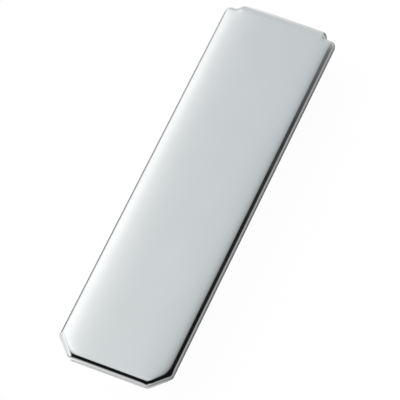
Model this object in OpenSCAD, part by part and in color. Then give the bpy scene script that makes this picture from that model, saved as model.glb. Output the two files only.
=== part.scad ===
// Hinged money clip: a polished front plate whose neck turns down into a hinge, and a sprung arm behind it.
// Millimetres. X is the width, +Y runs towards the hinge and +Z out of the front face.
// The clip lies on its arm at Z = 0, centred on X and Y.

/* [Front plate] */
// Length over all
plate_length = 60; // [54:1:68]
// Width over all
plate_width = 16; // [15:0.5:20]
// Thickness
plate_thickness = 1.5; // [1.2:0.1:2]
// Rounding of the edge round the face
edge_radius = 0.6; // [0.3:0.1:1]
// Width that each lower corner cut takes
corner_across = 2.4; // [1:0.1:4]
// Length that each lower corner cut takes
corner_along = 2.6; // [1:0.1:4]
// Rounding of the two shoulders beside the neck
shoulder_radius = 0.8; // [0.4:0.1:1]

/* [Neck] */
// Width where the neck leaves the shoulders
neck_width = 13.2; // [12.4:0.1:14]
// Distance that the neck stands out past the shoulders
neck_reach = 1.35; // [1:0.05:1.5]
// Outside radius of the turned-down end
bend_radius = 1.5; // [1.4:0.1:1.8]
// Slant of each side of the neck, over its reach
neck_slant = 0.35; // [0.1:0.05:0.6]
// Rounding of the neck's two far corners
neck_corner_radius = 0.8; // [0.4:0.1:1]
// Thickness of the end wall
end_wall = 0.9; // [0.7:0.1:1.1]

/* [Hinge] */
// Distance over the outsides of the two ears
ear_span = 11; // [10:0.2:11.4]
// Thickness of each ear
ear_thickness = 0.8; // [0.6:0.1:1]
// Length of each ear along the plate
ear_length = 7; // [6.5:0.5:9]
// Radius of the hinge pin
pin_radius = 0.7; // [0.5:0.05:0.8]
// Angle between the knuckle's two flats, which is how far the arm opens
open_angle = 60; // [50:5:70]
// Distance from the pin's axis to each flat
knuckle_flat = 1.5; // [1.4:0.05:1.7]

/* [Arm] */
// Width of the arm
arm_width = 11; // [9:0.5:12]
// Thickness of the arm
arm_thickness = 1; // [0.8:0.1:1.1]
// Angle at which the arm climbs to the plate
climb_angle = 20; // [15:1:30]
// Angle at which the lip turns away from the plate
lip_angle = 26; // [15:1:35]
// Length of the lip's straight end
lip_length = 1.8; // [1:0.1:2.5]
// Distance from the plate's lower end to the crest that meets it
crest_setback = 8.5; // [7:0.5:12]

/* [Spring] */
// Thickness of the leaf
leaf_thickness = 0.5; // [0.3:0.05:0.6]
// Width of the leaf
leaf_width = 8.2; // [6:0.2:8.4]
// Length of the leaf
leaf_length = 19; // [17:0.5:22]
// Room for the leaf to rise under the plate
leaf_lift = 0.35; // [0.3:0.05:0.5]
// Radius of the rivets' shanks
rivet_radius = 0.6; // [0.4:0.05:0.7]
// Distance between the two rivets
rivet_spacing = 4; // [3:0.2:4.6]

/* [Hidden] */
$fn = 64;
fit = 0.02;          // faces that only touch, such as a flat on the leaf
running = 0.04;      // radial clearance of the knuckle on its pin
side_gap = 0.25;     // between the arm's root and each ear
end_gap = 0.3;       // between the knuckle and the end wall
overlap = 0.01;      // run of one solid into the next inside a piece
half_width = plate_width / 2;
lower_y = -plate_length / 2;
upper_y = plate_length / 2;
shoulder_y = upper_y - neck_reach;
knuckle_radius = knuckle_flat / cos(open_angle / 2);
pin_y = upper_y - end_wall - end_gap - knuckle_radius;
pin_z = knuckle_radius;
leaf_low_z = pin_z + knuckle_flat + fit;
under_z = leaf_low_z + leaf_thickness + leaf_lift;
top_z = under_z + plate_thickness;
ear_in = ear_span / 2 - ear_thickness;
wall_low_z = pin_z / 4;  // lower edge of the end wall
neck_skirt = 0.6;        // how far the end wall keeps the neck's full width below the plate
neck_root = 2;           // run of the neck under the shoulders
neck_corner_start = 8;   // angle at which a slanted side runs into the neck's far corner
edge_steps = 6;          // slices of the rounded edge
ear_front_y = upper_y - ear_length;
root_width = 2 * (ear_in - side_gap);
pin_bore = pin_radius + running;
pin_flare = 0.3;         // how far a pin head stands out past the pin
pin_head_radius = pin_radius + pin_flare;
pin_head = 0.25;
head_rim = 0.4;          // straight rim of a pin or rivet head, as a share of its height
blade_corner = 0.8;      // rounding where the arm widens in front of the ears
blade_gap = 0.5;         // between the ears and the arm's wide part
tip_share = 0.35;        // rounding of the arm's tip, as a share of its width
climb_radius = 8;
crest_radius = 4;
crest_y = lower_y + crest_setback;
leaf_gap = 0.5;          // between the leaf and the end wall
leaf_end_y = upper_y - end_wall - leaf_gap;
leaf_start_y = leaf_end_y - leaf_length;
rivet_setback = 2.4;     // from the leaf's free end to the rivets
rivet_y = leaf_start_y + rivet_setback;
rivet_flare = 0.5;       // how far a rivet head stands out past its shank
rivet_head_radius = rivet_radius + rivet_flare;
rivet_head = 0.4;
rivet_depth = 0.9;
rivet_end_gap = 0.05;    // between a rivet's end and the bottom of its hole
step_gap = 2;            // from the rivets to where the leaf leaves the plate
step_run = 4;            // from there to where the leaf runs level again
step_y = [rivet_y + step_gap, rivet_y + step_gap + step_run];

// Points of an arc about c, from angle a to angle b
function arc(c, r, a, b, steps = 12) =
    [for (i = [0:steps]) let (t = a + (b - a) * i / steps) c + r * [cos(t), sin(t)]];

// An outline that is the same on both sides of the centre line, from the points of its right half in order
function both_sides(right) = concat(right, [for (i = [len(right) - 1:-1:0]) [-right[i][0], right[i][1]]]);

// Angle, seen from c, of the point where a line from p touches the circle of radius r about c
function touch_angle(p, c, r) = atan2(p[1] - c[1], p[0] - c[0]) + acos(r / norm(c - p));

// A side view, drawn with Y to the right and Z up, given its width across X
module across(width) {
    translate([-width / 2, 0, 0]) rotate([90, 0, 90]) linear_extrude(width) children();
}

// The plate's plan, from the cut lower corners to the rounded shoulders
module plate_plan() {
    corner = [half_width - shoulder_radius, shoulder_y - shoulder_radius];
    polygon(both_sides(concat(
        [[half_width - corner_across, lower_y], [half_width, lower_y + corner_along]],
        arc(corner, shoulder_radius, 0, 90))));
}

// The neck's plan: slanted sides and rounded far corners
module neck_plan() {
    end_x = neck_width / 2 - neck_slant;
    corner = [end_x - neck_corner_radius, upper_y - neck_corner_radius];
    polygon(both_sides(concat(
        [[neck_width / 2, shoulder_y - neck_root], [neck_width / 2, shoulder_y]],
        arc(corner, neck_corner_radius, neck_corner_start, 90))));
}

// The plate, whose plan shrinks towards the face so that its upper edge is round all the way
module rounded_plate() {
    hull() {
        translate([0, 0, under_z]) linear_extrude(plate_thickness - edge_radius) plate_plan();
        for (i = [1:edge_steps]) let (a = 90 * i / edge_steps)
            translate([0, 0, top_z - edge_radius * (1 - sin(a)) - overlap])
                linear_extrude(overlap) offset(delta = -edge_radius * (1 - cos(a))) plate_plan();
    }
}

// The neck and the top of the end wall, with the round outside of the bend
module neck() {
    bend = [upper_y - bend_radius, top_z - bend_radius];
    wall_y = upper_y - end_wall;
    skirt_z = under_z - neck_skirt;
    intersection() {
        linear_extrude(top_z + 1) neck_plan();
        across(plate_width) polygon(concat(
            [[shoulder_y - neck_root / 2, under_z], [wall_y, under_z], [wall_y, skirt_z], [upper_y, skirt_z]],
            arc(bend, bend_radius, 0, 90),
            [[shoulder_y - neck_root / 2, top_z]]));
    }
}

// One ear's side view: a lobe round the pin, running up to the plate and back to the end wall
module ear_side() {
    pin = [pin_y, pin_z];
    front = [ear_front_y, under_z + overlap];
    wall_y = upper_y - end_wall / 2;
    polygon(concat([front], arc(pin, knuckle_radius, touch_angle(front, pin, knuckle_radius), 270),
                   [[wall_y, wall_low_z], [wall_y, under_z + overlap]]));
}

// A hole right across the clip, on the pin's axis
module pin_hole(radius) {
    translate([0, pin_y, pin_z]) rotate([0, 90, 0])
        cylinder(r = radius, h = plate_width, center = true);
}

module front_plate() {
    color("gainsboro") difference() {
        union() {
            rounded_plate();
            neck();
            translate([-ear_span / 2, upper_y - end_wall, wall_low_z])
                cube([ear_span, end_wall, under_z - wall_low_z - neck_skirt / 2]);
            for (side = [-1, 1]) translate([side * (ear_in + ear_thickness / 2), 0, 0])
                across(ear_thickness) ear_side();
        }
        pin_hole(pin_radius);
        for (side = [-1, 1]) translate([side * rivet_spacing / 2, rivet_y, under_z - overlap])
            cylinder(r = rivet_radius, h = rivet_depth + overlap);
    }
}

// The arm's centre line in side view: from the knuckle along the belly, up the climb, over the crest and down
// the lip. offset moves it towards the plate.
function arm_line(offset) =
    let (mid = arm_thickness / 2,
         crest_c = [crest_y, under_z - fit - arm_thickness - crest_radius + mid],
         rise = crest_c[1] + crest_radius - mid,
         bends = (climb_radius + crest_radius) * (1 - cos(climb_angle)),
         run = (climb_radius + crest_radius) * sin(climb_angle) + (rise - bends) / tan(climb_angle),
         belly_c = [crest_y + run, mid + climb_radius],
         lip_start = crest_c + (crest_radius + offset) * [-sin(lip_angle), cos(lip_angle)])
    concat([[pin_y, mid + offset]],
           arc(belly_c, climb_radius - offset, -90, -90 - climb_angle),
           arc(crest_c, crest_radius + offset, 90 - climb_angle, 90 + lip_angle),
           [lip_start + lip_length * [-cos(lip_angle), -sin(lip_angle)]]);

// The arm's side view. The knuckle round the pin has two flats, one for the closed arm and one for the open arm.
module arm_side() {
    inner = arm_line(arm_thickness / 2);
    outer = arm_line(-arm_thickness / 2);
    pin = [pin_y, pin_z];
    root_angle = 180 + asin((pin_z - arm_thickness) / knuckle_radius);
    first = 90 + open_angle / 2;
    last = 90 - open_angle * 3 / 2;
    polygon(concat([for (i = [len(inner) - 1:-1:1]) inner[i]],
                   arc(pin, knuckle_radius, root_angle, first, 8),
                   arc(pin, knuckle_radius, first, last, 2),
                   arc(pin, knuckle_radius, last, -90, 8),
                   [for (i = [1:len(outer) - 1]) outer[i]]));
}

// The arm's plan: a narrow root between the ears, a wide blade, and a rounded tip
module arm_plan() {
    tip_y = crest_y - (crest_radius + arm_thickness) * sin(lip_angle) - lip_length * cos(lip_angle);
    wide_y = ear_front_y - blade_gap;
    tip_radius = arm_width * tip_share;
    polygon(both_sides(concat(
        arc([arm_width / 2 - tip_radius, tip_y + tip_radius], tip_radius, -90, 0),
        arc([arm_width / 2 - blade_corner, wide_y - blade_corner], blade_corner, 0, 90),
        [[root_width / 2, wide_y], [root_width / 2, upper_y]])));
}

module clip_arm() {
    color("gainsboro") difference() {
        intersection() {
            across(arm_width) arm_side();
            translate([0, 0, -1]) linear_extrude(top_z) arm_plan();
        }
        pin_hole(pin_bore);
    }
}

module hinge_pin() {
    color("silver") translate([0, pin_y, pin_z]) rotate([0, 90, 0]) {
        cylinder(r = pin_radius, h = ear_span, center = true);
        for (side = [0, 1]) mirror([0, 0, side]) translate([0, 0, ear_span / 2]) {
            cylinder(r = pin_head_radius, h = pin_head * head_rim);
            translate([0, 0, pin_head * head_rim])
                cylinder(r1 = pin_head_radius, r2 = pin_radius, h = pin_head * (1 - head_rim));
        }
    }
}

// The leaf's side view: flat under the rivets, a step down, then level over the knuckle
module leaf_side() {
    high = under_z;
    low = leaf_low_z + leaf_thickness;
    t = leaf_thickness;
    polygon([[leaf_start_y, high], [step_y[0], high], [step_y[1], low], [leaf_end_y, low],
             [leaf_end_y, low - t], [step_y[1], low - t], [step_y[0], high - t], [leaf_start_y, high - t]]);
}

module leaf_spring() {
    color("darkgray") difference() {
        across(leaf_width) leaf_side();
        for (side = [-1, 1]) translate([side * rivet_spacing / 2, rivet_y, 0])
            cylinder(r = rivet_radius, h = top_z);
    }
}

module spring_rivets() {
    color("silver") for (side = [-1, 1])
        translate([side * rivet_spacing / 2, rivet_y, under_z - leaf_thickness]) {
            cylinder(r = rivet_radius, h = leaf_thickness + rivet_depth - rivet_end_gap);
            mirror([0, 0, 1]) cylinder(r = rivet_head_radius, h = rivet_head * head_rim);
            translate([0, 0, -rivet_head * head_rim]) mirror([0, 0, 1])
                cylinder(r1 = rivet_head_radius, r2 = rivet_radius, h = rivet_head * (1 - head_rim));
        }
}

front_plate();
clip_arm();
hinge_pin();
leaf_spring();
spring_rivets();
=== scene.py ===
"""Looks of the hinged money clip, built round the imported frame.

Metres, in the frame's own axes: X across the clip, +Y towards the hinge, +Z out of the polished face.
Every piece is lofted in mesh code from the frame's boxes and a few sizes in the section below.
"""

import math

import bmesh
import bpy
from mathutils import Matrix, Vector


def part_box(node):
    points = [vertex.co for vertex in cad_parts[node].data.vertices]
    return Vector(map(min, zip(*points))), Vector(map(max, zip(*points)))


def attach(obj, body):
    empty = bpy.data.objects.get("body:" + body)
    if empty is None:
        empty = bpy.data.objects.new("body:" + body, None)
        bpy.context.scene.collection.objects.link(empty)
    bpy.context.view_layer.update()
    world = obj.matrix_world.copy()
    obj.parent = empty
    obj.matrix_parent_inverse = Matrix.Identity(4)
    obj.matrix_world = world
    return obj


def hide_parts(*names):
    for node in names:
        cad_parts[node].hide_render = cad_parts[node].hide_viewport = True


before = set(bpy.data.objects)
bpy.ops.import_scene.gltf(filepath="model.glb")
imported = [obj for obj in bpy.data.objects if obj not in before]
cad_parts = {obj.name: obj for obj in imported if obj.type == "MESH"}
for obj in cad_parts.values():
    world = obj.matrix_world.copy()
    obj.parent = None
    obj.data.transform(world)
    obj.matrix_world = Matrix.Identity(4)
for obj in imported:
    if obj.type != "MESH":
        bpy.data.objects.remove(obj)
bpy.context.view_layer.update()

# ---------------------------------------------------------------- sizes

MM = 0.001
QUARTER = math.pi / 2
FIT = 0.02 * MM  # between faces that only touch
WELD = 0.0004 * MM  # points closer than this become one
SECTION_STEPS = 6  # steps on each rounded corner of the arm's and the leaf's sections

plate_low, plate_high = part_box("front_plate")
pin_low, pin_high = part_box("hinge_pin")
arm_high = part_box("clip_arm")[1]
leaf_low, leaf_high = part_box("leaf_spring")
rivet_low, rivet_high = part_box("spring_rivets")

HALF_WIDTH = plate_high.x
LOWER_Y, UPPER_Y = plate_low.y, plate_high.y
TOP_Z, UNDER_Z = plate_high.z, leaf_high.z
THICKNESS = TOP_Z - UNDER_Z
PIN = Vector((0, (pin_low.y + pin_high.y) / 2, (pin_low.z + pin_high.z) / 2))

# front plate
CORNER_ACROSS, CORNER_ALONG = 2.4 * MM, 2.6 * MM
NECK_REACH, NECK_HALF, NECK_SLANT = 1.35 * MM, 6.6 * MM, 0.35 * MM
BEND_RADIUS, INNER_BEND = 1.5 * MM, 0.6 * MM
END_WALL, SKIRT = 0.9 * MM, 0.6 * MM
ROLL_WIDTH, ROLL_DEPTH = 0.7 * MM, 0.62 * MM
LOWER_ROUND = 0.6 * MM
ROLL_POWER, ROLL_STEPS = 2.2, 16  # over 2, the roll is squarer than a quarter circle
LOWER_STEPS, SIDE_STEPS = 8, 3
CROWN = 0.09 * MM
PILLOW, PILLOW_REACH = 0.1 * MM, 0.4 * MM  # fall of the face at an edge, and how fast it fades inwards
SHOULDER_Y = UPPER_Y - NECK_REACH
SHOULDER_FADE_X, SHOULDER_FADE = 5.6 * MM, 1.2 * MM  # where the shoulder's buffed margin fades out
NOTCH_RISE = 0.6 * MM  # height over which the neck's side slants
WALL_ROLL = 0.72  # depth of the roll round the end wall, as a share of its thickness
WALL_ROLL_RUN = 2.4 * MM  # way from the start of the bend to there
BEND_Y = UPPER_Y - BEND_RADIUS
SHEET_END = BEND_Y + BEND_RADIUS * QUARTER + SKIRT
FILLET_STEPS = 8
LONG_RUN, CLOSER = 20, 0.7  # a straight run of this many steps has closer ones near its ends, by this much
# fillets of the outline, of the line where the face begins to roll and of the buffed margin's inner line:
# two at each cut corner's ends, then the shoulder's, the notch's, the neck's and the skirt's
OUTER_FILLETS = [1.1 * MM, 1.1 * MM, 0.9 * MM, 0.3 * MM, 0.5 * MM, 0.9 * MM]
ROLL_FILLETS = [3.0 * MM, 3.0 * MM, 1.05 * MM, 0.3 * MM, 0.5 * MM, 0.9 * MM]
MARGIN_FILLETS = [3.4 * MM, 3.4 * MM, 1.05 * MM, 0.3 * MM, 0.5 * MM, 1.05 * MM]
MARGIN, MARGIN_STEPS = 0.98 * MM, 4
# steps on the outline's straight runs; the first is the sum of the 4th, the 7th and FILLET_STEPS
OUTLINE_RUNS = [25, 5, 72, 1, 1, 16, 16]

# hinge band: the two ears and the end wall that joins them
EAR_OUT, EAR_IN, EAR_FRONT_Y = 5.5 * MM, 4.7 * MM, UPPER_Y - 7 * MM
EAR_LEVEL_Y = PIN.y + 1 * MM  # up to here the ear's inner face keeps level with its outer one
LOBE_RADIUS = PIN.z
WALL_LOW = PIN.z / 4
BAND_SINK = 0.04 * MM  # run of the band into the plate, and its step inside the neck's end
BAND_CORNER, BAND_INNER_CORNER, BAND_ROUND = 0.8 * MM, 0.2 * MM, 0.2 * MM
EAR_STEPS, BAND_CORNER_STEPS, WALL_STEPS = 72, 10, 6
BAND_RISE_STEPS, BAND_ROUND_STEPS = 8, 6

# hinge pin and rivets
PIN_RADIUS, PIN_BORE = 0.7 * MM, 0.74 * MM
PIN_RIM, PIN_DIMPLE = 0.07 * MM, 0.05 * MM
RIVET_RADIUS, RIVET_HEAD, RIVET_RIM = 0.6 * MM, 0.4 * MM, 0.1 * MM
RIVET_Y = (rivet_low.y + rivet_high.y) / 2
RIVET_HEAD_RADIUS = (rivet_high.y - rivet_low.y) / 2
RIVET_X = rivet_high.x - RIVET_HEAD_RADIUS
HEAD_STEPS = 14

# arm
ARM_THICKNESS, ARM_ROUND = 1.0 * MM, 0.3 * MM
CLIMB_RADIUS, CREST_RADIUS = 8 * MM, 4 * MM
CLIMB, LIP = math.radians(20), math.radians(26)
LIP_LENGTH, CREST_SETBACK = 1.8 * MM, 8.5 * MM
OPEN_ANGLE, KNUCKLE_FLAT = math.radians(60), 1.5 * MM
ROOT_HALF, BLADE_CORNER = 4.45 * MM, 0.8 * MM
TIP_RADIUS = arm_high.x * 0.7
KNUCKLE_RADIUS = KNUCKLE_FLAT / math.cos(OPEN_ANGLE / 2)
KNUCKLE_END, KNUCKLE_STEPS = 0.06, 48  # angle about the pin, in radians, where the knuckle's end is closed
WIDE_Y, ROOT_FILLET = EAR_FRONT_Y - 0.5 * MM, 0.25 * MM

# leaf spring
LEAF_THICKNESS, LEAF_ROUND, LEAF_CORNER = 0.5 * MM, 0.12 * MM, 0.7 * MM
LEAF_STEP, LEAF_STEP_GAP, LEAF_STEP_RUN = 0.35 * MM, 2 * MM, 4 * MM
LEAF_CORNER_CUT = 0.8  # how far the corners come in, as a share of a full quarter circle


# ---------------------------------------------------------------- mesh tools

def lerp(a, b, t):
    return a + (b - a) * t


def smooth(t):
    t = min(1.0, max(0.0, t))
    return t * t * (3 - 2 * t)


def add_patch(bm, rows, closed=False):
    """Quads between neighbouring rows of points. A closed patch joins each row's last point to its first.

    Returns the rows of vertices.
    """
    verts = [[bm.verts.new(p) for p in row] for row in rows]
    count = len(rows[0])
    for a, b in zip(verts, verts[1:]):
        for j in range(count if closed else count - 1):
            k = (j + 1) % count
            bm.faces.new((a[j], a[k], b[k], b[j]))
    return verts


def add_tube(bm, rings):
    """A closed tube through rings of points, with a fan of triangles at each end."""
    verts = add_patch(bm, rings, closed=True)
    for ring in (verts[0], verts[-1]):
        middle = bm.verts.new(sum((v.co for v in ring), Vector()) / len(ring))
        for j, v in enumerate(ring):
            bm.faces.new((v, ring[(j + 1) % len(ring)], middle))


def weld(bm):
    bmesh.ops.remove_doubles(bm, verts=bm.verts, dist=WELD)
    bmesh.ops.dissolve_degenerate(bm, edges=bm.edges, dist=WELD)
    bmesh.ops.recalc_face_normals(bm, faces=bm.faces)


def mirror_x(bm):
    """Adds the left half of a mesh that was made for X >= 0 only, joined along X = 0."""
    for v in bm.verts:
        if abs(v.co.x) < WELD:
            v.co.x = 0
    made = bmesh.ops.duplicate(bm, geom=bm.verts[:] + bm.edges[:] + bm.faces[:])["geom"]
    for item in made:
        if isinstance(item, bmesh.types.BMVert):
            item.co.x = -item.co.x
    weld(bm)


def shade(obj):
    """Smooth shading, apart from edges that turn by more than 35 degrees."""
    obj.data.shade_smooth()
    obj.data.set_sharp_from_angle(angle=math.radians(35))


def mesh_object(name, bm):
    mesh = bpy.data.meshes.new(name)
    bm.to_mesh(mesh)
    bm.free()
    obj = bpy.data.objects.new(name, mesh)
    bpy.context.scene.collection.objects.link(obj)
    shade(obj)
    return obj


def boolean(obj, tool, operation):
    """Joins tool to obj or cuts it away, applies the result and removes the tool."""
    modifier = obj.modifiers.new(operation, "BOOLEAN")
    modifier.operation = operation
    modifier.solver = "EXACT"
    modifier.object = tool
    bpy.context.view_layer.update()
    graph = bpy.context.evaluated_depsgraph_get()
    mesh = bpy.data.meshes.new_from_object(obj.evaluated_get(graph), depsgraph=graph)
    obj.modifiers.clear()
    old, obj.data = obj.data, mesh
    bpy.data.meshes.remove(old)
    bpy.data.objects.remove(tool)


def lathe(bm, profile, place, steps=64):
    """A solid of revolution about local Z.

    profile is (radius, height) from one end of the axis to the other.
    """
    turns = [2 * math.pi * i / steps for i in range(steps)]
    rings = []
    for radius, height in profile[1:-1]:
        rings.append([place @ Vector((radius * math.cos(turn), radius * math.sin(turn), height))
                      for turn in turns])
    verts = add_patch(bm, rings, closed=True)
    for ring, (radius, height) in ((verts[0], profile[0]), (verts[-1], profile[-1])):
        middle = bm.verts.new(place @ Vector((0, 0, height)))
        for j, v in enumerate(ring):
            bm.faces.new((v, ring[(j + 1) % steps], middle))


def unit(a, b):
    """The direction from corner a to corner b."""
    return (Vector(b[:2]) - Vector(a[:2])).normalized()


def filleted(corners, straights, steps):
    """A line through corners (x, y, radius), each rounded, as (point, inward normal) pairs.

    straights holds the number of steps on each straight run, and steps is the number on each fillet.
    The line starts on a centre line, where its steps aren't closer. Its left side is the shape's inside.
    """
    line = []
    start = Vector(corners[0][:2])
    for i in range(1, len(corners)):
        ahead = unit(corners[i - 1], corners[i])
        normal = Vector((-ahead.y, ahead.x))
        corner, radius = Vector(corners[i][:2]), corners[i][2]
        last = i == len(corners) - 1
        if last:
            end, arc = corner, []
        else:
            turned = unit(corners[i], corners[i + 1])
            turn = math.atan2(ahead.x * turned.y - ahead.y * turned.x, ahead.dot(turned))
            end = corner - ahead * radius * math.tan(abs(turn) / 2)
            side = 1 if turn > 0 else -1
            centre = end + normal * radius * side
            arc = []
            for k in range(1, steps):
                spun = Matrix.Rotation(turn * k / steps, 2) @ normal
                arc.append((centre - spun * radius * side, spun))
        count = straights[i - 1]
        for k in range(count + 1):
            along = k / count
            if count >= LONG_RUN:
                along = lerp(along, math.sin(QUARTER * along) if i == 1 else smooth(along), CLOSER)
            line.append((start.lerp(end, along), normal))
        line += arc
        if not last:
            start = corner + turned * radius * math.tan(abs(turn) / 2)
    return line


def coons(bottom, right, top, left):
    """A grid of points between four edge lines. bottom and top run alike, and so do right and left."""
    rows = []
    for i in range(len(left)):
        v = i / (len(left) - 1)
        row = []
        for j in range(len(bottom)):
            u = j / (len(bottom) - 1)
            corners = bottom[0].lerp(bottom[-1], u) * (1 - v) + top[0].lerp(top[-1], u) * v
            row.append(bottom[j].lerp(top[j], v) + left[i].lerp(right[i], u) - corners)
        rows.append(row)
    return rows


# ---------------------------------------------------------------- front plate

def sheet_point(x, s, share):
    """A point of the plate's sheet.

    s runs along its outer face and round the bend, and share runs through its thickness.
    """
    if s <= BEND_Y:
        outer, inner = Vector((x, s, TOP_Z)), Vector((x, s, UNDER_Z))
    else:
        angle = min((s - BEND_Y) / BEND_RADIUS, QUARTER)
        past = max(0.0, s - BEND_Y - BEND_RADIUS * QUARTER)
        centre = Vector((x, BEND_Y, UNDER_Z))
        spoke = Vector((0, math.sin(angle), math.cos(angle)))
        outer = centre + spoke * BEND_RADIUS - Vector((0, 0, past))
        inner = centre - Vector((0, 0, INNER_BEND)) + spoke * INNER_BEND
    return outer.lerp(inner, share)


def face_share(point):
    """How far the faintly crowned face falls at a point of the sheet, as a share of the thickness.

    The buffed margin is a sum of one fading slope per edge, so that it stays smooth round the corners.
    """
    x, y = abs(point.x), point.y
    cut = Vector((CORNER_ALONG, -CORNER_ACROSS)).normalized()
    cut_end = Vector((HALF_WIDTH, LOWER_Y + CORNER_ALONG))
    distances = [HALF_WIDTH - x, y - LOWER_Y, (cut_end - Vector((x, y))).dot(cut)]
    fall = CROWN * (x / HALF_WIDTH) ** 4
    fall += PILLOW * sum(math.exp(-max(0.0, d) / PILLOW_REACH) for d in distances)
    on_shoulder = smooth((x - SHOULDER_FADE_X) / SHOULDER_FADE)
    fall += PILLOW * on_shoulder * math.exp(-abs(SHOULDER_Y - y) / PILLOW_REACH)
    return fall / THICKNESS


def roll_share(s):
    """How deep the rolled edge reaches at s: deeper round the thinner end wall."""
    return lerp(ROLL_DEPTH / THICKNESS, WALL_ROLL, smooth((s - BEND_Y) / WALL_ROLL_RUN))


def edge_profile():
    """The edge's section as (share of the way in, share of the roll, share of the lower part)."""
    section = []
    for k in range(ROLL_STEPS + 1):
        angle = QUARTER * k / ROLL_STEPS
        inward = 1 - math.sin(angle) ** (2 / ROLL_POWER)
        section.append((inward, 1 - math.cos(angle), 0.0))
    low = 1 - LOWER_ROUND / (THICKNESS - ROLL_DEPTH)
    for k in range(1, SIDE_STEPS + 1):
        section.append((0.0, 1.0, low * k / SIDE_STEPS))
    for k in range(1, LOWER_STEPS + 1):
        angle = QUARTER * k / LOWER_STEPS
        section.append((1 - math.cos(angle), 1.0, lerp(low, 1.0, math.sin(angle))))
    return section


def plate_outline(fillets):
    """The sheet's right outline, from the middle of the lower end to the middle of the skirt's edge."""
    side_x = NECK_HALF - NECK_SLANT
    turns = [
        (HALF_WIDTH - CORNER_ACROSS, LOWER_Y),
        (HALF_WIDTH, LOWER_Y + CORNER_ALONG),
        (HALF_WIDTH, SHOULDER_Y),
        (NECK_HALF, SHOULDER_Y),
        (side_x, SHOULDER_Y + NOTCH_RISE),
        (side_x, SHEET_END),
    ]
    rounded = [turn + (radius,) for turn, radius in zip(turns, fillets)]
    return filleted([(0, LOWER_Y, 0)] + rounded + [(0, SHEET_END, 0)], OUTLINE_RUNS, FILLET_STEPS)


def plate_mesh():
    """The plate with its neck and end wall: an edge lofted along its outline, and a grid on each face."""
    outline = plate_outline(OUTER_FILLETS)
    edge_line = [point for point, normal in outline]
    back_line = [point + normal * LOWER_ROUND for point, normal in outline]
    roll_line = [point + normal * ROLL_WIDTH for point, normal in plate_outline(ROLL_FILLETS)]
    face_line = [point + normal * MARGIN for point, normal in plate_outline(MARGIN_FILLETS)]
    rings = []
    for point, roll_point, back_point, margin_point in zip(edge_line, roll_line, back_line, face_line):
        margin = [margin_point.lerp(roll_point, k / MARGIN_STEPS) for k in range(MARGIN_STEPS)]
        ring = [sheet_point(flat.x, flat.y, face_share(flat)) for flat in margin]
        for inward, roll, lower in edge_profile():
            flat = point.lerp(back_point if lower else roll_point, inward)
            fallen = face_share(flat)
            edge = roll_share(flat.y)
            share = lerp(fallen, edge, roll) if lower == 0 else lerp(edge, 1.0, lower)
            ring.append(sheet_point(flat.x, flat.y, share))
        rings.append(ring)
    bm = bmesh.new()
    add_patch(bm, rings)
    for line, share_at in ((face_line, face_share), (back_line, lambda point: 1.0)):
        for grid in inner_grids(line):
            add_patch(bm, [[sheet_point(p.x, p.y, share_at(p)) for p in row] for row in grid])
    weld(bm)
    mirror_x(bm)
    return mesh_object("front_plate_shell", bm)


def inner_grids(line):
    """Two grids that fill the outline's inset line: the plate's, and the neck's with the end wall."""
    lower, shoulder, notch, skirt = fillet_middles()
    seam_start = Vector((0, line[notch].y))
    neck_steps = len(line) - 1 - skirt
    seam = [seam_start.lerp(line[notch], j / neck_steps) for j in range(neck_steps + 1)]
    bottom = line[:lower + 1]
    right = line[lower:shoulder + 1]
    top = seam + line[shoulder:notch][::-1]
    left = [line[0].lerp(seam_start, i / (len(right) - 1)) for i in range(len(right))]
    yield coons(bottom, right, top, left)
    right = line[notch:skirt + 1]
    top = line[skirt:][::-1]
    first, last = right[0].y, right[-1].y
    left = [Vector((0, lerp(seam_start.y, line[-1].y, (p.y - first) / (last - first)))) for p in right]
    yield coons(seam, right, top, left)


def fillet_middles():
    """The outline's steps at the middle of the lower corner's, shoulder's, notch's and skirt's fillets."""
    middles, at = [], 0
    for count in OUTLINE_RUNS[:-1]:
        at += count + FILLET_STEPS // 2
        middles.append(at)
        at += FILLET_STEPS // 2
    return middles[0], middles[2], middles[3], middles[5]


def lobe_low(y):
    """Height of the ear's lower edge at y: down its slanted front, round the pin and back to the wall."""
    front = Vector((EAR_FRONT_Y, UNDER_Z + BAND_SINK))
    pin = Vector((PIN.y, PIN.z))
    reach = pin - front
    angle = math.atan2(-reach.y, -reach.x) + math.acos(LOBE_RADIUS / reach.length)
    touch = pin + LOBE_RADIUS * Vector((math.cos(angle), math.sin(angle)))
    if y <= touch.x:
        return lerp(front.y, touch.y, (y - front.x) / (touch.x - front.x))
    if y <= pin.x:
        return pin.y - math.sqrt(max(0.0, LOBE_RADIUS ** 2 - (y - pin.x) ** 2))
    return WALL_LOW * min(1.0, (y - pin.x) / (UPPER_Y - END_WALL / 2 - pin.x))


def band_section(outer, inner, low, slope):
    """One section of the hinge band: a closed ring from its top down the outside and up the inside."""
    top = UNDER_Z + BAND_SINK
    height = max(top - low, 0.0)
    rise = min(BAND_ROUND * math.hypot(1, slope), height)
    thickness = (outer - inner).length
    falls = [lerp(top, low + rise, k / BAND_RISE_STEPS) for k in range(BAND_RISE_STEPS + 1)]
    ring = [outer + Vector((0, 0, z)) for z in falls]
    angles = [QUARTER * k / BAND_ROUND_STEPS for k in range(BAND_ROUND_STEPS + 1)]
    shares = [BAND_ROUND / thickness * (1 - math.cos(angle)) for angle in angles]
    heights = [low + rise * (1 - math.sin(angle)) for angle in angles]
    for share, z in list(zip(shares, heights))[1:]:
        ring.append(outer.lerp(inner, share) + Vector((0, 0, z)))
    for share, z in list(zip(shares, heights))[-2::-1]:
        ring.append(outer.lerp(inner, 1 - share) + Vector((0, 0, z)))
    return ring + [inner + Vector((0, 0, z)) for z in reversed(falls[:-1])]


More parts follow.
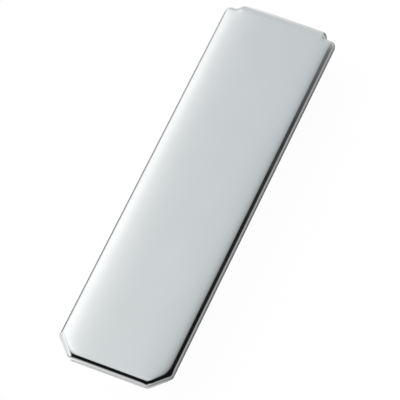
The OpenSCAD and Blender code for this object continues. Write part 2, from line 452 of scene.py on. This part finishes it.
def hinge_band():
    """The band: lofted from the front of one ear to the middle of the end wall, then mirrored."""
    wall_out, wall_in = UPPER_Y - BAND_SINK, UPPER_Y - END_WALL - BAND_SINK
    bend_out, bend_in = wall_out - BAND_CORNER, wall_in - BAND_INNER_CORNER
    outer_centre = Vector((EAR_OUT - BAND_CORNER, bend_out, 0))
    inner_centre = Vector((EAR_IN - BAND_INNER_CORNER, bend_in, 0))
    stations = []
    for k in range(EAR_STEPS + 1):
        y = inner_y = lerp(EAR_FRONT_Y, bend_out, k / EAR_STEPS)
        if y >= EAR_LEVEL_Y:
            inner_y = lerp(EAR_LEVEL_Y, bend_in, (y - EAR_LEVEL_Y) / (bend_out - EAR_LEVEL_Y))
        stations.append((Vector((EAR_OUT, y, 0)), Vector((EAR_IN, inner_y, 0))))
    for k in range(1, BAND_CORNER_STEPS + 1):
        angle = QUARTER * k / BAND_CORNER_STEPS
        turn = Vector((math.cos(angle), math.sin(angle), 0))
        stations.append((outer_centre + turn * BAND_CORNER, inner_centre + turn * BAND_INNER_CORNER))
    for k in range(1, WALL_STEPS + 1):
        along = k / WALL_STEPS
        stations.append((Vector((lerp(outer_centre.x, 0, along), wall_out, 0)),
                         Vector((lerp(inner_centre.x, 0, along), wall_in, 0))))
    step = 0.02 * MM
    rings = []
    for outer, inner in stations:
        slope = (lobe_low(outer.y + step) - lobe_low(outer.y - step)) / (2 * step)
        rings.append(band_section(outer, inner, lobe_low(outer.y), slope))
    bm = bmesh.new()
    verts = add_patch(bm, rings, closed=True)
    bm.faces.new(verts[0])
    weld(bm)
    mirror_x(bm)
    return mesh_object("hinge_band", bm)


def rod(name, centre, radius, length, axis):
    """A plain round cutter for a bore, centred on centre."""
    bm = bmesh.new()
    place = Matrix.Translation(centre) @ axis.to_track_quat("Z", "Y").to_matrix().to_4x4()
    half = length / 2
    lathe(bm, [(0, -half), (radius, -half), (radius, half), (0, half)], place)
    weld(bm)
    return mesh_object(name, bm)


def make_front_plate():
    """The plate with its hinge band and the hole for the pin."""
    plate = plate_mesh()
    boolean(plate, hinge_band(), "UNION")
    hole = rod("pin_hole", PIN, PIN_RADIUS + FIT / 2, 2 * HALF_WIDTH, Vector((1, 0, 0)))
    boolean(plate, hole, "DIFFERENCE")
    shade(plate)
    return plate


# ---------------------------------------------------------------- arm

def spoke(centre, radius, angle):
    """The point at angle on the circle about centre."""
    return centre + radius * Vector((math.cos(angle), math.sin(angle)))


def end_inset(from_end, radius):
    """How far a rounded end has come in at a distance from it."""
    return radius - math.sqrt(max(0.0, radius ** 2 - max(0.0, radius - from_end) ** 2))


def arm_stations():
    """Sections of the arm from its tip to the far side of the knuckle.

    Each is (upper point, lower point, half width, edge inset), with points as (y, z).
    """
    mid = ARM_THICKNESS / 2
    crest = Vector((LOWER_Y + CREST_SETBACK, UNDER_Z - FIT - ARM_THICKNESS - CREST_RADIUS + mid))
    rise = crest.y + CREST_RADIUS - mid
    bends = (CLIMB_RADIUS + CREST_RADIUS) * (1 - math.cos(CLIMB))
    run = (CLIMB_RADIUS + CREST_RADIUS) * math.sin(CLIMB) + (rise - bends) / math.tan(CLIMB)
    belly = Vector((crest.x + run, mid + CLIMB_RADIUS))

    def at_crest(angle):
        return [spoke(crest, CREST_RADIUS + side, angle) for side in (mid, -mid)]

    def at_belly(angle):
        return [spoke(belly, CLIMB_RADIUS - side, angle) for side in (mid, -mid)]

    # lip, with close sections where its end is rounded
    lip_end = at_crest(QUARTER + LIP)
    away = Vector((-math.cos(LIP), -math.sin(LIP)))
    travels = [ARM_ROUND * (1 - math.cos(QUARTER * k / 6)) for k in range(7)]
    travels += [lerp(ARM_ROUND, LIP_LENGTH, k / 8) for k in range(1, 8)]
    pairs = []
    for travel in travels:
        up, low = (p + away * (LIP_LENGTH - travel) for p in lip_end)
        pairs.append((up, low, end_inset(travel, ARM_ROUND)))

    # crest, climb and the bend into the belly
    sides = [at_crest(lerp(QUARTER + LIP, QUARTER - CLIMB, k / 24)) for k in range(25)]
    climb_start, climb_end = sides[-1], at_belly(-QUARTER - CLIMB)
    sides += [[a.lerp(b, k / 10) for a, b in zip(climb_start, climb_end)] for k in range(1, 10)]
    sides += [at_belly(lerp(-QUARTER - CLIMB, -QUARTER, k / 12)) for k in range(13)]

    # belly, the shoulders in front of the ears, and the knuckle
    root_y = PIN.y - math.sqrt(KNUCKLE_RADIUS ** 2 - (PIN.z - ARM_THICKNESS) ** 2)
    corner_y = WIDE_Y - BLADE_CORNER
    levels = [lerp(belly.x, corner_y, k / 30) for k in range(1, 30)]
    levels += [corner_y + BLADE_CORNER * math.sin(QUARTER * k / 10) for k in range(11)]
    levels += [WIDE_Y + ROOT_FILLET * (1 - math.cos(QUARTER * k / 5)) for k in range(1, 6)]
    levels += [lerp(WIDE_Y + ROOT_FILLET, root_y, k / 8) for k in range(1, 9)]
    sides += [(Vector((y, ARM_THICKNESS)), Vector((y, 0))) for y in levels]
    first = math.acos((root_y - PIN.y) / KNUCKLE_RADIUS)
    for k in range(1, KNUCKLE_STEPS + 1):
        y = PIN.y + KNUCKLE_RADIUS * math.cos(lerp(first, KNUCKLE_END, k / KNUCKLE_STEPS))
        sides.append([Vector((y, z)) for z in knuckle_heights(y)])
    pairs += [(up, low, 0) for up, low in sides]

    tip_y = min(p.x for p in pairs[0][:2])
    return [(up, low, arm_half_width((up.x + low.x) / 2, tip_y), inset) for up, low, inset in pairs]


def knuckle_heights(y):
    """Top and bottom of the knuckle at y, with its two flats."""
    half = math.sqrt(max(0.0, KNUCKLE_RADIUS ** 2 - (y - PIN.y) ** 2))
    first = PIN.z + KNUCKLE_FLAT
    second = PIN.z + (KNUCKLE_FLAT - (y - PIN.y) * math.sin(OPEN_ANGLE)) / math.cos(OPEN_ANGLE)
    return min(PIN.z + half, first, second), PIN.z - half if y > PIN.y else 0.0


def arm_half_width(y, tip_y):
    """Half the arm's width at y: a round tip, a wide blade and a narrow root between the ears."""
    wide = arm_high.x
    root_start = wide - BLADE_CORNER
    if y < tip_y + TIP_RADIUS:
        return wide - TIP_RADIUS + math.sqrt(max(0.0, TIP_RADIUS ** 2 - (tip_y + TIP_RADIUS - y) ** 2))
    if y <= WIDE_Y - BLADE_CORNER:
        return wide
    if y <= WIDE_Y:
        return root_start + math.sqrt(max(0.0, BLADE_CORNER ** 2 - (y - WIDE_Y + BLADE_CORNER) ** 2))
    along = min(1.0, (y - WIDE_Y) / ROOT_FILLET)
    return ROOT_HALF + (root_start - ROOT_HALF) * (1 - math.sqrt(1 - (1 - along) ** 2))


def section_ring(upper, lower, half_width, radius, inset=0.0):
    """A section with rounded corners, as a ring of points, given the (y, z) points at its top and bottom.

    The corners' radius stays between a fiftieth and just under half of the section's height.
    """
    height = (upper - lower).length
    radius = max(min(radius, height * 0.49) - inset * 0.5, height * 0.02)
    half_width -= inset
    ring = []
    for side, from_top in ((1, True), (1, False), (-1, False), (-1, True)):
        for k in range(SECTION_STEPS + 1):
            angle = QUARTER * k / SECTION_STEPS
            if from_top != (side > 0):
                angle = QUARTER - angle
            x = side * (half_width - radius * (1 - math.sin(angle)))
            depth = inset + radius * (1 - math.cos(angle))
            share = depth / height
            point = upper.lerp(lower, share if from_top else 1 - share)
            ring.append(Vector((x, point.x, point.y)))
    return ring


def make_clip_arm():
    """The arm: one tube of sections, bored through its knuckle."""
    sections = [section_ring(up, low, half, ARM_ROUND, inset) for up, low, half, inset in arm_stations()]
    bm = bmesh.new()
    add_tube(bm, sections)
    weld(bm)
    arm = mesh_object("clip_arm_blade", bm)
    bore = rod("pin_bore", PIN, PIN_BORE, 2 * HALF_WIDTH, Vector((1, 0, 0)))
    boolean(arm, bore, "DIFFERENCE")
    shade(arm)
    return arm


# ---------------------------------------------------------------- pin, rivets and leaf

def domed_head(radius, rim, height, dimple=0.0):
    """A head's profile as (radius, height above its foot), from the middle of its dome to its rim's foot.

    A dimple's radius is four times its depth.
    """
    profile = [(0, height - dimple)]
    if dimple:
        profile += [(dimple * 2, height - dimple * 0.6), (dimple * 4, height)]
    for k in range(2 if dimple else 1, HEAD_STEPS + 1):
        angle = QUARTER * k / HEAD_STEPS
        if radius * math.sin(angle) > dimple * 4:
            profile.append((radius * math.sin(angle), rim + (height - rim) * math.cos(angle)))
    return profile + [(radius, rim * 0.4), (radius * 0.985, 0)]


def make_hinge_pin():
    """The pin, with a dimpled dome outside each ear."""
    head = domed_head((pin_high.z - pin_low.z) / 2, PIN_RIM, pin_high.x - EAR_OUT, PIN_DIMPLE)
    right = [(radius, EAR_OUT + height) for radius, height in head] + [(PIN_RADIUS, EAR_OUT - FIT)]
    left = [(radius, -height) for radius, height in reversed(right)]
    bm = bmesh.new()
    place = Matrix.Translation(PIN) @ Matrix.Rotation(QUARTER, 4, "Y")
    lathe(bm, right + left, place, 96)
    weld(bm)
    return mesh_object("hinge_pin_peened", bm)


def make_rivets():
    """Two rivets, with domed heads below the leaf."""
    foot = rivet_low.z + RIVET_HEAD
    head = [(radius, -height) for radius, height in domed_head(RIVET_HEAD_RADIUS, RIVET_RIM, RIVET_HEAD)]
    shank = [(RIVET_RADIUS, 0), (RIVET_RADIUS, rivet_high.z - foot), (0, rivet_high.z - foot)]
    bm = bmesh.new()
    for side in (-1, 1):
        place = Matrix.Translation((side * RIVET_X, RIVET_Y, foot))
        lathe(bm, head + shank, place, 72)
    weld(bm)
    return mesh_object("spring_rivet_pair", bm)


def leaf_levels(step_start, step_end):
    """Places of the leaf's sections along Y, close together at its rounded ends and down its step."""
    ends = [LEAF_ROUND * (1 - math.cos(QUARTER * k / 5)) for k in range(6)]
    ends += [LEAF_CORNER * k / 6 for k in range(2, 7)]
    levels = [leaf_low.y + end for end in ends]
    levels += [lerp(leaf_low.y + LEAF_CORNER, step_start, k / 4) for k in range(1, 4)]
    levels += [lerp(step_start, step_end, k / 20) for k in range(21)]
    levels += [lerp(step_end, leaf_high.y - LEAF_CORNER, k / 14) for k in range(1, 14)]
    return levels + [leaf_high.y - end for end in reversed(ends)]


def make_leaf():
    """The leaf, with one smooth step, rounded corners and two rivet holes."""
    step_start = RIVET_Y + LEAF_STEP_GAP
    step_end = step_start + LEAF_STEP_RUN
    rings = []
    for y in leaf_levels(step_start, step_end):
        top = leaf_high.z - LEAF_STEP * smooth((y - step_start) / (step_end - step_start))
        from_end = min(y - leaf_low.y, leaf_high.y - y)
        half_width = leaf_high.x - end_inset(from_end, LEAF_CORNER) * LEAF_CORNER_CUT
        up, low = Vector((y, top)), Vector((y, top - LEAF_THICKNESS))
        rings.append(section_ring(up, low, half_width, LEAF_ROUND, end_inset(from_end, LEAF_ROUND)))
    bm = bmesh.new()
    add_tube(bm, rings)
    weld(bm)
    leaf = mesh_object("leaf_spring_blade", bm)
    for side in (-1, 1):
        centre = Vector((side * RIVET_X, RIVET_Y, leaf_high.z))
        hole = rod("rivet_hole", centre, RIVET_RADIUS + FIT / 2, 4 * MM, Vector((0, 0, 1)))
        boolean(leaf, hole, "DIFFERENCE")
    shade(leaf)
    return leaf


# ---------------------------------------------------------------- materials

def principled(name):
    """A new material, its node tree and its shader."""
    material = bpy.data.materials.new(name)
    material.use_nodes = True
    tree = material.node_tree
    return material, tree, tree.nodes["Principled BSDF"]


def grain(tree, scale, detail=3.0):
    """Noise over the object's own coordinates. scale is in waves per metre along X, Y and Z."""
    place = tree.nodes.new("ShaderNodeTexCoord")
    mapping = tree.nodes.new("ShaderNodeMapping")
    mapping.inputs["Scale"].default_value = scale
    noise = tree.nodes.new("ShaderNodeTexNoise")
    noise.inputs["Scale"].default_value = 1.0
    noise.inputs["Detail"].default_value = detail
    tree.links.new(place.outputs["Object"], mapping.inputs["Vector"])
    tree.links.new(mapping.outputs["Vector"], noise.inputs["Vector"])
    return noise.outputs["Fac"]


def map_range(tree, value, source, target):
    """Maps a value from the source range to the target range."""
    node = tree.nodes.new("ShaderNodeMapRange")
    node.inputs["From Min"].default_value, node.inputs["From Max"].default_value = source
    node.inputs["To Min"].default_value, node.inputs["To Max"].default_value = target
    tree.links.new(value, node.inputs["Value"])
    return node


def spread(tree, value, low, high):
    """Maps noise, which mostly lies between 0.3 and 0.7, to low and high."""
    return map_range(tree, value, (0.3, 0.7), (low, high)).outputs["Result"]


def tint(tree, value, first, second):
    """A colour between two, by a value from 0 to 1."""
    node = tree.nodes.new("ShaderNodeMix")
    node.data_type = "RGBA"
    node.inputs["A"].default_value = (*first, 1)
    node.inputs["B"].default_value = (*second, 1)
    tree.links.new(value, node.inputs["Factor"])
    return node.outputs["Result"]


def relief(tree, heights):
    """A chain of bumps from (height, depth in metres) pairs, returned as a normal."""
    normal = None
    for height, depth in heights:
        bump = tree.nodes.new("ShaderNodeBump")
        bump.inputs["Distance"].default_value = depth
        tree.links.new(height, bump.inputs["Height"])
        if normal:
            tree.links.new(normal, bump.inputs["Normal"])
        normal = bump.outputs["Normal"]
    return normal


def metal(name, colours, roughness, patch_scale, heights):
    """A bare or plated metal: two close tints, a roughness range and bumps, all from noise.

    patch_scale is the scale of the tint's noise, and the roughness has noise three times as fine.
    heights holds pairs of a noise's scale and its bump's depth.
    """
    material, tree, shader = principled(name)
    shader.inputs["Metallic"].default_value = 1.0
    patches = spread(tree, grain(tree, patch_scale, detail=4.0), 0.0, 1.0)
    tree.links.new(tint(tree, patches, *colours), shader.inputs["Base Color"])
    rub = spread(tree, grain(tree, tuple(3 * s for s in patch_scale), detail=5.0), *roughness)
    tree.links.new(rub, shader.inputs["Roughness"])
    normal = relief(tree, [(grain(tree, scale), depth) for scale, depth in heights])
    tree.links.new(normal, shader.inputs["Normal"])
    return material


def polished_plating():
    """Mirror plating: a slight waviness from the buffing wheel and very fine lines along the plate."""
    return metal(
        "polished_plating",
        colours=((0.90, 0.915, 0.915), (0.93, 0.94, 0.945)),
        roughness=(0.075, 0.115),
        patch_scale=(150, 90, 150),
        heights=[((110, 60, 110), 3e-6), ((9000, 500, 9000), 1.0e-7)])


def rubbed_plating():
    """The same plating on the arm, a little duller where notes and cloth rub it."""
    return metal(
        "rubbed_plating",
        colours=((0.84, 0.85, 0.85), (0.90, 0.91, 0.915)),
        roughness=(0.13, 0.20),
        patch_scale=(260, 120, 260),
        heights=[((160, 80, 160), 3e-6), ((7000, 350, 7000), 3e-7)])


def peened_metal():
    """Heads closed by a hammer: soft dimples under a satin finish."""
    return metal(
        "peened_metal",
        colours=((0.74, 0.74, 0.73), (0.86, 0.86, 0.855)),
        roughness=(0.16, 0.28),
        patch_scale=(900, 900, 900),
        heights=[((1900, 1900, 1900), 1.5e-5), ((12000, 12000, 12000), 4e-7)])


def spring_steel():
    """Darker rolled steel, with its grain along the leaf."""
    return metal(
        "spring_steel",
        colours=((0.42, 0.44, 0.47), (0.50, 0.52, 0.54)),
        roughness=(0.24, 0.34),
        patch_scale=(500, 120, 500),
        heights=[((6000, 260, 6000), 6e-7)])


def put_on(obj, material):
    obj.data.materials.clear()
    obj.data.materials.append(material)


# ---------------------------------------------------------------- studio

# Light of the sky's parts, as linear colours.
DARK, DIM = (0.006, 0.006, 0.006), (0.3, 0.3, 0.305)
NEAR_GREY, FAR_GREY, PATCH = (0.65, 0.678, 0.688), (0.588, 0.612, 0.628), (0.45, 0.46, 0.47)
WHITE, SOFT_WHITE = (1.08, 1.08, 1.08), (0.85, 0.85, 0.85)
WALL, FRONT_WALL = (0.8, 0.8, 0.8), (0.52, 0.52, 0.52)
SIDE_WALL, BACK_WALL = (0.38, 0.38, 0.38), (0.62, 0.63, 0.63)

# Soft borders of those parts on the unit sphere: where each mask is 0, and where it is 1.
DIM_Y = (0.51, 0.56)
PANEL_TONE_Y, PANEL_NEAR_Y, PANEL_RIGHT_X = (0.43, 0.57), (0.02, 0.16), (0.03, -0.195)
REACH_RIGHT_X, REACH_NEAR_Y, REACH_FAR_Y = (-0.2, -0.31), (0.3, 0.4), (0.68, 0.48)
WHITE_X, SOFT_WHITE_X = (-0.42, -0.62), (-0.62, -0.74)
PATCH_Z = (0.9955, 0.9975)
WALL_TOP_Z, WALL_FRONT_Y, WALL_BACK_Y = (0.59, 0.36), (-0.3, -0.6), (0.75, 0.88)
WALL_SIDE_X, WALL_SIDE_Y = (0.3, 0.7), (-0.65, -0.45)
CORNER_X, CORNER_Y, CORNER_TOP_Z = (0.2, 0.4), (-0.42, -0.6), (0.75, 0.55)
GAP_X, GAP_NEAR_Y, GAP_FAR_Y, GAP_TOP_Z = (-0.6, -0.7), (0.3, 0.4), (0.575, 0.505), (0.3, 0.2)

# The overhead panel's right border slants: from each y on, it moves by this share of the way along Y.
FAR_SLANT_Y, FAR_SLANT = 0.5, 0.4
NEAR_SLANT_Y, NEAR_SLANT = 0.403, 0.65

# Painted light: glowing patches of the floor that only the metal reflects, standing in for lit floor, with
# borders in metres as above.
FRONT_GLOW, FRONT_GLOW_Y, FRONT_GLOW_X = 0.38, (-27 * MM, -29 * MM), (13 * MM, 8 * MM)
LEFT_GLOW, LEFT_GLOW_X, LEFT_GLOW_END_X = 0.8, (-5.5 * MM, -7 * MM), (-60 * MM, -30 * MM)
BACK_GLOW, BACK_GLOW_Y, BACK_GLOW_X = 0.4, (29.5 * MM, 31 * MM), (9 * MM, 4 * MM)


def new_math(tree, operation, first, second):
    """A math node's result. Each input is a number or another node's output."""
    node = tree.nodes.new("ShaderNodeMath")
    node.operation = operation
    for socket, value in zip(node.inputs, (first, second)):
        if isinstance(value, (int, float)):
            socket.default_value = value
        else:
            tree.links.new(value, socket)
    return node.outputs["Value"]


def both(tree, first, second):
    return new_math(tree, "MULTIPLY", first, second)


def either(tree, first, second):
    return new_math(tree, "MAXIMUM", first, second)


def fade(tree, value, border):
    """A mask over value: 0 at the border's first number and before it, 1 at its second and past it."""
    start, end = border
    target = (0, 1) if start < end else (1, 0)
    node = map_range(tree, value, sorted(border), target)
    node.interpolation_type = "SMOOTHSTEP"
    return node.outputs["Result"]


def blend_to(tree, value, target, share):
    """value * (1 - share) + target * share, for colours"""
    node = tree.nodes.new("ShaderNodeMix")
    node.data_type = "RGBA"
    # the node's factor and its two colours have these indices among its inputs
    for index, item in ((6, value), (7, target), (0, share)):
        if isinstance(item, tuple):
            node.inputs[index].default_value = (*item, 1)
        else:
            tree.links.new(item, node.inputs[index])
    return node.outputs[2]


def coordinates(tree, kind):
    """The x, y and z outputs of one kind of texture coordinate."""
    place = tree.nodes.new("ShaderNodeTexCoord")
    split = tree.nodes.new("ShaderNodeSeparateXYZ")
    tree.links.new(place.outputs[kind], split.inputs["Vector"])
    return (split.outputs[name] for name in "XYZ")


def overhead_light(tree, x, y, z):
    """The upper sky: a dark dome, a grey panel behind the clip and a white one on its left.

    The dark between the panels is what draws the dark lines along the plate's rolled edges.
    """
    light = blend_to(tree, DARK, DIM, fade(tree, y, DIM_Y))

    far_slant = both(tree, new_math(tree, "SUBTRACT", FAR_SLANT_Y, y), FAR_SLANT)
    near_slant = both(tree, new_math(tree, "SUBTRACT", y, NEAR_SLANT_Y), NEAR_SLANT)
    slanted = new_math(tree, "ADD", x, new_math(tree, "MINIMUM", far_slant, near_slant))
    panel = both(tree, fade(tree, y, PANEL_NEAR_Y), fade(tree, slanted, PANEL_RIGHT_X))
    grey = blend_to(tree, NEAR_GREY, FAR_GREY, fade(tree, y, PANEL_TONE_Y))
    light = blend_to(tree, light, grey, panel)

    reach = both(tree, fade(tree, x, REACH_RIGHT_X), fade(tree, y, REACH_NEAR_Y))
    reach = both(tree, reach, fade(tree, y, REACH_FAR_Y))
    light = blend_to(tree, light, WHITE, either(tree, reach, fade(tree, x, WHITE_X)))
    light = blend_to(tree, light, SOFT_WHITE, fade(tree, x, SOFT_WHITE_X))
    return blend_to(tree, light, PATCH, fade(tree, z, PATCH_Z))


def wall_light(tree, x, y):
    """The pale wall all round, less bright in front, at the right and at the back."""
    wall = blend_to(tree, WALL, FRONT_WALL, fade(tree, y, WALL_FRONT_Y))
    beside = both(tree, fade(tree, x, WALL_SIDE_X), fade(tree, y, WALL_SIDE_Y))
    wall = blend_to(tree, wall, SIDE_WALL, beside)
    return blend_to(tree, wall, BACK_WALL, fade(tree, y, WALL_BACK_Y))


def make_world():
    """A soft studio, painted on the sky by direction."""
    world = bpy.data.worlds.new("studio")
    world.use_nodes = True
    bpy.context.scene.world = world
    tree = world.node_tree
    x, y, z = coordinates(tree, "Generated")

    # the wall stands higher in its front right corner
    corner = both(tree, fade(tree, x, CORNER_X), fade(tree, y, CORNER_Y))
    corner = both(tree, corner, fade(tree, z, CORNER_TOP_Z))
    walled = either(tree, corner, fade(tree, z, WALL_TOP_Z))
    light = blend_to(tree, overhead_light(tree, x, y, z), wall_light(tree, x, y), walled)

    # a dark gap low down on the left draws the thin line of the plate's left edge
    gap = both(tree, fade(tree, x, GAP_X), fade(tree, y, GAP_NEAR_Y))
    gap = both(tree, gap, fade(tree, y, GAP_FAR_Y))
    gap = both(tree, gap, fade(tree, z, GAP_TOP_Z))
    light = blend_to(tree, light, DARK, gap)
    tree.links.new(light, tree.nodes["Background"].inputs["Color"])


def make_camera():
    """The studio camera: a long lens, high up and to the right of the clip's lower end."""
    elevation, turn = math.radians(57.7), math.radians(22.92)
    distance = 523.1 * MM
    target = Vector((0.88 * MM, -1.76 * MM, TOP_Z))
    level = math.cos(elevation)
    back = Vector((level * math.sin(turn), -level * math.cos(turn), math.sin(elevation)))
    data = bpy.data.cameras.new("camera")
    data.lens = 360
    data.sensor_width = 36
    data.clip_start, data.clip_end = 0.01, 50
    camera = bpy.data.objects.new("camera", data)
    camera.location = target + back * distance
    camera.rotation_euler = back.to_track_quat("Z", "Y").to_euler()
    bpy.context.scene.collection.objects.link(camera)
    bpy.context.scene.camera = camera


def make_sheet(name, albedo, glow):
    """A wide sheet at Z = 0 with a matt white material that also glows a little."""
    half_size = 4.0
    bm = bmesh.new()
    add_patch(bm, [[Vector((x, y, 0)) for x in (-half_size, half_size)] for y in (-half_size, half_size)])
    sheet = mesh_object(name, bm)
    material, tree, shader = principled(name + "_sheet")
    shader.inputs["Base Color"].default_value = (albedo, albedo, albedo, 1)
    shader.inputs["Roughness"].default_value = 0.9
    shader.inputs["Specular IOR Level"].default_value = 0.0
    shader.inputs["Emission Color"].default_value = (1, 1, 1, 1)
    shader.inputs["Emission Strength"].default_value = glow
    sheet.visible_diffuse = False
    sheet.visible_shadow = False
    put_on(sheet, material)
    return sheet, tree, shader


def make_floor():
    """Two sheets in one place: the pale floor that the camera sees, and the one that the metal reflects.

    The second carries painted light: it glows in front of the clip, behind it, and on its left, standing
    in for floor that the white panel lights, so the metal shows it as a painted reflection.
    """
    seen, _, _ = make_sheet("floor", albedo=0.1, glow=0.965)
    seen.visible_glossy = False
    mirrored, tree, shader = make_sheet("floor_in_reflections", albedo=0.6, glow=0.0)
    mirrored.visible_camera = False
    x, y, _ = coordinates(tree, "Object")
    # painted light: these glowing patches stand in for lit floor and show only as painted reflections in
    # the metal
    front = both(tree, fade(tree, y, FRONT_GLOW_Y), fade(tree, x, FRONT_GLOW_X))
    left = both(tree, fade(tree, x, LEFT_GLOW_X), fade(tree, x, LEFT_GLOW_END_X))
    back = both(tree, fade(tree, y, BACK_GLOW_Y), fade(tree, x, BACK_GLOW_X))
    glow = either(tree, both(tree, front, FRONT_GLOW), both(tree, left, LEFT_GLOW))
    glow = either(tree, glow, both(tree, back, BACK_GLOW))
    tree.links.new(glow, shader.inputs["Emission Strength"])


# ---------------------------------------------------------------- the scene

# how each piece is made, the CAD node that it stands for, the body that it rides on and its finish
PIECES = (
    (make_front_plate, "front_plate", "front", polished_plating),
    (make_clip_arm, "clip_arm", "arm", rubbed_plating),
    (make_hinge_pin, "hinge_pin", "front", peened_metal),
    (make_leaf, "leaf_spring", "front", spring_steel),
    (make_rivets, "spring_rivets", "front", peened_metal),
)

bpy.context.scene.view_settings.view_transform = "Standard"
make_camera()
make_world()
make_floor()
for make, node, body, finish in PIECES:
    piece = make()
    put_on(piece, finish())
    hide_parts(node)
    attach(piece, body)
